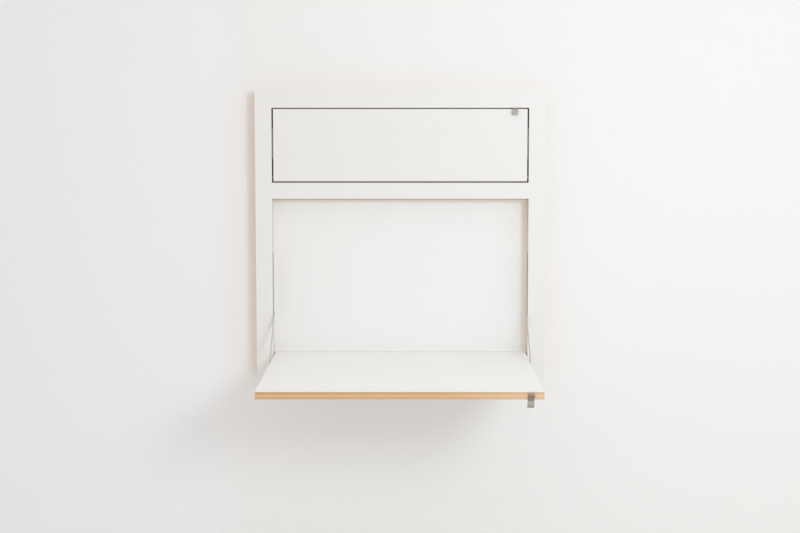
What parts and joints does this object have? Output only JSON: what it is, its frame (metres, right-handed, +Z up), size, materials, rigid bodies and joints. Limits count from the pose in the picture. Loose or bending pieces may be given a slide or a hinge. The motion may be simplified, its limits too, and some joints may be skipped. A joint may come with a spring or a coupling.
{
  "type": "floating wall desk",
  "caption": "Square wall-hung plywood frame with a fold-down desk flap held level by sliding steel stays, and a smaller fold-down flap above it.",
  "frame": {"origin": "middle of the wall cleat's screw line, on the wall's plane", "axes": "+X to the right seen from the room, +Y into the wall, +Z up"},
  "size_m": [0.8, 0.4712, 0.8],
  "materials": {
    "birch_plywood": "lacquered edge, layers in sight",
    "white_laminate": "fine matt",
    "limed_plywood": "pale oiled birch plywood",
    "white_lacquer": "birch plywood under satin white lacquer",
    "steel": "brushed",
    "dark_steel": "black zinc plated",
    "black_nylon": "satin",
    "nylon": "satin",
    "webbing": "woven grey webbing"
  },
  "bodies": {
    "frame": {"bottom_batten": "white_lacquer", "desk_left_channel": "dark_steel", "desk_left_pivot_pin": "steel", "desk_right_channel": "dark_steel", "desk_right_pivot_pin": "steel", "frame_core": "birch_plywood", "frame_front_laminate": "white_laminate", "frame_rear_laminate": "white_laminate", "hanging_batten": "limed_plywood", "left_batten": "limed_plywood", "middle_batten": "limed_plywood", "right_batten": "limed_plywood", "upper_left_channel": "dark_steel", "upper_left_pivot_pin": "steel", "upper_right_channel": "dark_steel", "upper_right_pivot_pin": "steel", "wall_cleat": "birch_plywood"},
    "desk_flap": {"desk_core": "birch_plywood", "desk_inner_laminate": "white_laminate", "desk_left_link_pin": "steel", "desk_left_pivot_bush": "nylon", "desk_outer_laminate": "white_laminate", "desk_pull_tab": "webbing", "desk_right_link_pin": "steel", "desk_right_pivot_bush": "nylon"},
    "desk_left_link": {"desk_left_link": "steel", "desk_left_link_rivet": "steel"},
    "desk_left_slider": {"desk_left_slider": "black_nylon"},
    "desk_right_link": {"desk_right_link": "steel", "desk_right_link_rivet": "steel"},
    "desk_right_slider": {"desk_right_slider": "black_nylon"},
    "upper_flap": {"upper_core": "birch_plywood", "upper_inner_laminate": "white_laminate", "upper_left_link_pin": "steel", "upper_left_pivot_bush": "nylon", "upper_outer_laminate": "white_laminate", "upper_pull_tab": "webbing", "upper_right_link_pin": "steel", "upper_right_pivot_bush": "nylon"},
    "upper_left_link": {"upper_left_link": "steel", "upper_left_link_rivet": "steel"},
    "upper_left_slider": {"upper_left_slider": "black_nylon"},
    "upper_right_link": {"upper_right_link": "steel", "upper_right_link_rivet": "steel"},
    "upper_right_slider": {"upper_right_slider": "black_nylon"}
  },
  "joints": [
    {"name": "desk_fold", "type": "hinge", "parent": "frame", "child": "desk_flap", "pos_m": [0, -0.0294, -0.7055], "axis": [-1, 0, 0], "range_deg": [0, 90]},
    {"name": "desk_left_link_turn", "type": "hinge", "parent": "desk_flap", "child": "desk_left_link", "pos_m": [0, -0.1464, -0.7055], "axis": [-1, 0, 0], "range_deg": [-133.86, 0]},
    {"name": "desk_left_slide", "type": "slide", "parent": "frame", "child": "desk_left_slider", "axis": [0, 0, 1], "range_m": [0, 0.16425]},
    {"name": "desk_right_link_turn", "type": "hinge", "parent": "desk_flap", "child": "desk_right_link", "pos_m": [0, -0.1464, -0.7055], "axis": [-1, 0, 0], "range_deg": [-133.86, 0]},
    {"name": "desk_right_slide", "type": "slide", "parent": "frame", "child": "desk_right_slider", "axis": [0, 0, 1], "range_m": [0, 0.16425]},
    {"name": "upper_fold", "type": "hinge", "parent": "frame", "child": "upper_flap", "pos_m": [0, -0.0294, -0.2035], "axis": [1, 0, 0], "range_deg": [0, 90]},
    {"name": "upper_left_link_turn", "type": "hinge", "parent": "upper_flap", "child": "upper_left_link", "pos_m": [0, -0.0294, -0.1495], "axis": [1, 0, 0], "range_deg": [-133.17, 0]},
    {"name": "upper_left_slide", "type": "slide", "parent": "frame", "child": "upper_left_slider", "axis": [0, 0, -1], "range_m": [0, 0.07554]},
    {"name": "upper_right_link_turn", "type": "hinge", "parent": "upper_flap", "child": "upper_right_link", "pos_m": [0, -0.0294, -0.1495], "axis": [1, 0, 0], "range_deg": [-133.17, 0]},
    {"name": "upper_right_slide", "type": "slide", "parent": "frame", "child": "upper_right_slider", "axis": [0, 0, -1], "range_m": [0, 0.07554]}
  ],
  "couplings": [
    {"joint": "desk_left_link_turn", "follows": "desk_fold", "ratio": -1.4868},
    {"joint": "desk_left_slide", "follows": "desk_fold", "m_per_rad": 0.10444},
    {"joint": "desk_right_link_turn", "follows": "desk_fold", "ratio": -1.4868},
    {"joint": "desk_right_slide", "follows": "desk_fold", "m_per_rad": 0.10444},
    {"joint": "upper_left_link_turn", "follows": "upper_fold", "ratio": -1.4791},
    {"joint": "upper_left_slide", "follows": "upper_fold", "m_per_rad": 0.047961},
    {"joint": "upper_right_link_turn", "follows": "upper_fold", "ratio": -1.4791},
    {"joint": "upper_right_slide", "follows": "upper_fold", "m_per_rad": 0.047961}
  ]
}
